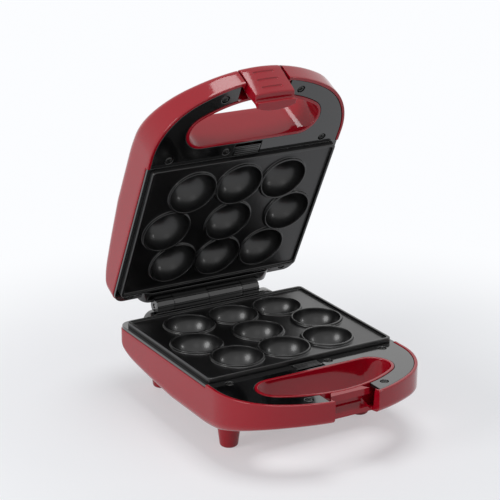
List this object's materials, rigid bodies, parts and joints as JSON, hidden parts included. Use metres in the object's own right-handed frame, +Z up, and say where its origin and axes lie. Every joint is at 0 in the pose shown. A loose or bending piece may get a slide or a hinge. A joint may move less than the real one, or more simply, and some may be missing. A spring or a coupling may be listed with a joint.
{
  "type": "cake pop maker",
  "caption": "Countertop cooker with two hinged halves, nine-cup non-stick plates, a D-shaped handle and a hooked front latch.",
  "frame": {"origin": "centre of the whole object's box at rest, on the surface that the feet stand on", "axes": "+Z up, -Y to the handles at the front, +X to the user's right as they face the handles' side"},
  "size_m": [0.178, 0.2516, 0.2848],
  "materials": {
    "red_plastic": "glossy moulded housing",
    "black_plastic": "satin moulded deck",
    "non_stick": "dark satin non-stick coating on cast aluminium",
    "screw_steel": "zinc plated",
    "pin_steel": "drawn",
    "spring_wire": "drawn wire",
    "heater_sheath": "annealed, dull",
    "reflector_sheet": "bright rolled sheet",
    "ceramic": "unglazed ceramic",
    "amber_lens": "clear tinted",
    "green_lens": "clear tinted",
    "circuit_board": "coated board",
    "lamp_glass": "clear"
  },
  "bodies": {
    "base": {"lower_housing": "red_plastic", "lower_deck": "black_plastic", "lower_plate": "non_stick", "lower_element": "heater_sheath", "lower_element_clips": "reflector_sheet", "lower_reflector": "reflector_sheet", "lower_deck_screws": "screw_steel", "lower_catch_springs": "spring_wire", "front_left_foot": "red_plastic", "front_right_foot": "red_plastic", "back_left_foot": "red_plastic", "back_right_foot": "red_plastic", "foot_screws": "screw_steel", "thermostat": "ceramic", "thermal_fuse": "pin_steel", "terminal_block": "ceramic", "hinge_pin": "pin_steel"},
    "lid": {"upper_housing": "red_plastic", "upper_deck": "black_plastic", "upper_plate": "non_stick", "upper_element": "heater_sheath", "upper_element_clips": "reflector_sheet", "upper_reflector": "reflector_sheet", "upper_deck_screws": "screw_steel", "upper_catch_springs": "spring_wire", "power_lens": "amber_lens", "ready_lens": "green_lens", "indicator_board": "circuit_board", "indicator_lamps": "lamp_glass", "latch_pin": "pin_steel"},
    "lid_latch": {"latch": "red_plastic"},
    "lower_release": {"lower_catch": "black_plastic"},
    "upper_release": {"upper_catch": "black_plastic"}
  },
  "joints": [
    {"name": "lid_hinge", "type": "hinge", "parent": "base", "child": "lid", "pos_m": [0, 0.10785, 0.0659], "axis": [-1, 0, 0], "range_deg": [-63.4, 36.6]},
    {"name": "latch_pivot", "type": "hinge", "parent": "lid", "child": "lid_latch", "pos_m": [0, 0.01877, 0.27729], "axis": [-1, 0, 0], "range_deg": [0, 20]},
    {"name": "lower_catch_slide", "type": "slide", "parent": "base", "child": "lower_release", "axis": [0, -1, 0], "range_m": [0, 0.0028], "stiffness_N_per_m": 600, "springref_m": -0.002, "deforming": ["lower_catch_springs"]},
    {"name": "upper_catch_slide", "type": "slide", "parent": "lid", "child": "upper_release", "axis": [0, -0.4478, 0.8942], "range_m": [0, 0.0028], "stiffness_N_per_m": 600, "springref_m": -0.002, "deforming": ["upper_catch_springs"]}
  ]
}
